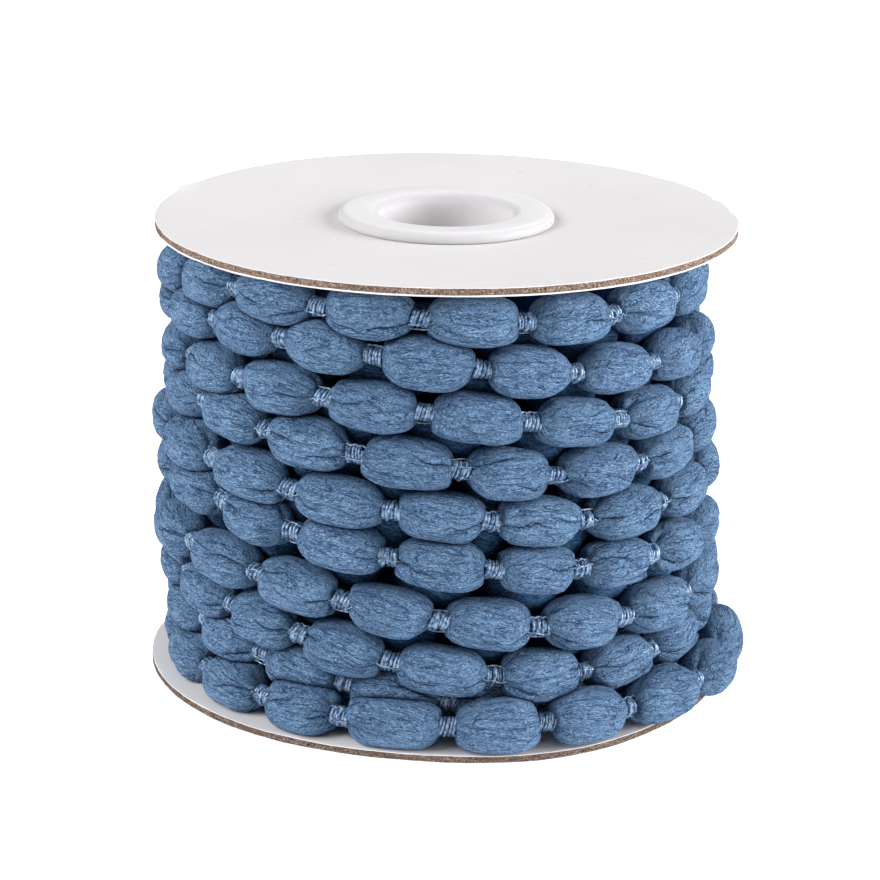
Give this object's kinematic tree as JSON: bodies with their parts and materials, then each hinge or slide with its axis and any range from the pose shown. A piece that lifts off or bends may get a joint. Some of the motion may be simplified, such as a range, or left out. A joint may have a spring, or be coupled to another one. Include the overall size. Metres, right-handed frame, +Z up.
{
  "type": "roll of pompom trim",
  "caption": "Strand of long soft beads wound in a thick roll on a spool of two round board discs and a plastic hub with a through bore.",
  "frame": {"origin": "on the spool's axis, level with the foot of the lower hub, which the roll stands on", "axes": "+Z up along the spool's axis; the roll's front faces -Y and +X is to its right"},
  "size_m": [0.1023, 0.1014, 0.082],
  "materials": {
    "trim": "dusty blue brushed fibre with glossier thread bindings",
    "board": "off-white matt paper on brown-grey board",
    "hub_plastic": "white, semi-gloss"
  },
  "bodies": {
    "root": {"winding": "trim", "disc_upper": "board", "disc_lower": "board", "hub_upper": "hub_plastic", "hub_lower": "hub_plastic"}
  },
  "joints": []
}
